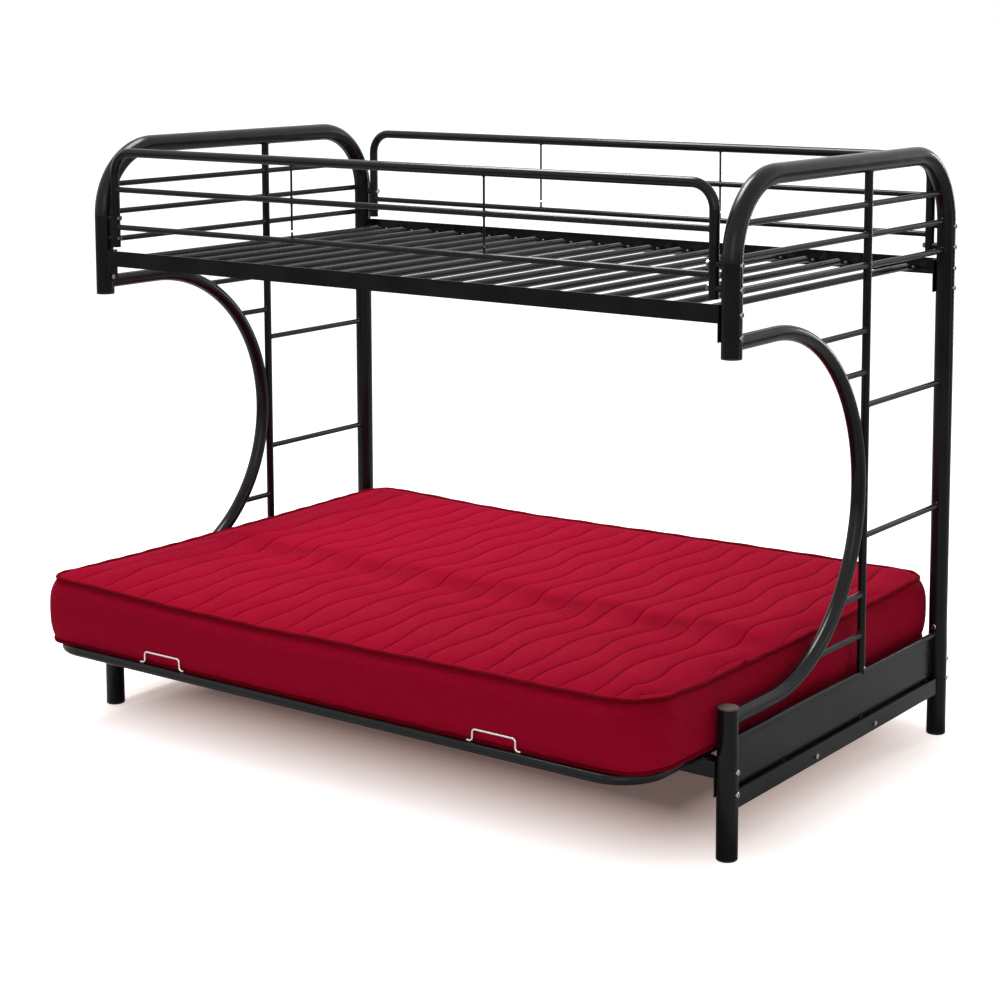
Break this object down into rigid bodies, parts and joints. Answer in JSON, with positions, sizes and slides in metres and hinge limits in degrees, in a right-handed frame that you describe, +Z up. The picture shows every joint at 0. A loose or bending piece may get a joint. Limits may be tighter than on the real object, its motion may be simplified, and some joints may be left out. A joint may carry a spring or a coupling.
{
  "type": "futon bunk bed",
  "caption": "Steel bunk bed with guard rails and end ladders over a folding futon with a thick cloth mattress, which slides out flat as a bed.",
  "frame": {"origin": "middle of the plan box, on the floor that the feet stand on", "axes": "+X along the bed, +Y from the futon's front edge to the rear posts, +Z up"},
  "size_m": [2.136, 1.4926, 1.651],
  "materials": {
    "black_steel": "satin black powder coat",
    "black_plastic": "moulded black plastic",
    "cap_plastic": "moulded dark grey-brown plastic",
    "dark_bolts": "black zinc plate",
    "chrome_wire": "bright plated wire",
    "red_cloth": "quilted red polyester cloth"
  },
  "bodies": {
    "frame": {"end_arch_right": "black_steel", "end_arch_left": "black_steel", "front_leg_right": "black_steel", "front_leg_left": "black_steel", "rear_leg_right": "black_steel", "rear_leg_left": "black_steel", "side_arc_right": "black_steel", "side_arc_left": "black_steel", "ladder_stile_right": "black_steel", "ladder_stile_left": "black_steel", "head_rungs_right": "black_steel", "head_rungs_left": "black_steel", "ladder_rungs_right": "black_steel", "ladder_rungs_left": "black_steel", "short_rungs_right": "black_steel", "short_rungs_left": "black_steel", "post_sleeves": "black_steel", "short_post_caps": "black_plastic", "front_leg_caps": "cap_plastic", "leg_feet": "black_plastic", "upper_rail_front": "black_steel", "upper_rail_rear": "black_steel", "lower_rail_front": "black_steel", "lower_rail_rear": "black_steel", "upper_deck_slats": "black_steel", "guard_rail_front": "black_steel", "guard_rail_rear": "black_steel", "guard_spacers": "black_steel", "guard_bolts": "dark_bolts", "rail_bolts": "dark_bolts", "leg_bolts": "dark_bolts", "sleeve_screws": "dark_bolts", "panel_top_tube_right": "black_steel", "panel_top_tube_left": "black_steel", "panel_sheet_right": "black_steel", "panel_sheet_left": "black_steel", "panel_channel_right": "black_steel", "panel_channel_left": "black_steel", "guide_plate_right": "black_steel", "guide_plate_left": "black_steel", "guide_bolts": "dark_bolts", "deck_rest_pads": "black_plastic"},
    "seat_deck": {"seat_deck_frame": "black_steel", "seat_hinge_plates": "black_steel", "hinge_pins": "dark_bolts", "hinge_spacers": "black_steel", "guide_studs": "dark_bolts", "guide_glides": "black_plastic", "mattress_retainers": "chrome_wire", "mattress_seat": "red_cloth", "mattress_fold": "red_cloth"},
    "back_deck": {"back_deck_frame": "black_steel", "back_hinge_plates": "black_steel", "mattress_back": "red_cloth"}
  },
  "joints": [
    {"name": "seat_slide", "type": "slide", "parent": "frame", "child": "seat_deck", "axis": [0, 1, 0], "range_m": [0, 0.32]},
    {"name": "back_fold", "type": "hinge", "parent": "seat_deck", "child": "back_deck", "pos_m": [0, -0.01565, 0.255], "axis": [1, 0, 0], "range_deg": [0, 75], "deforming": ["mattress_fold"]}
  ],
  "couplings": [
    {"joint": "back_fold", "follows": "seat_slide", "rad_per_m": 4.09}
  ]
}
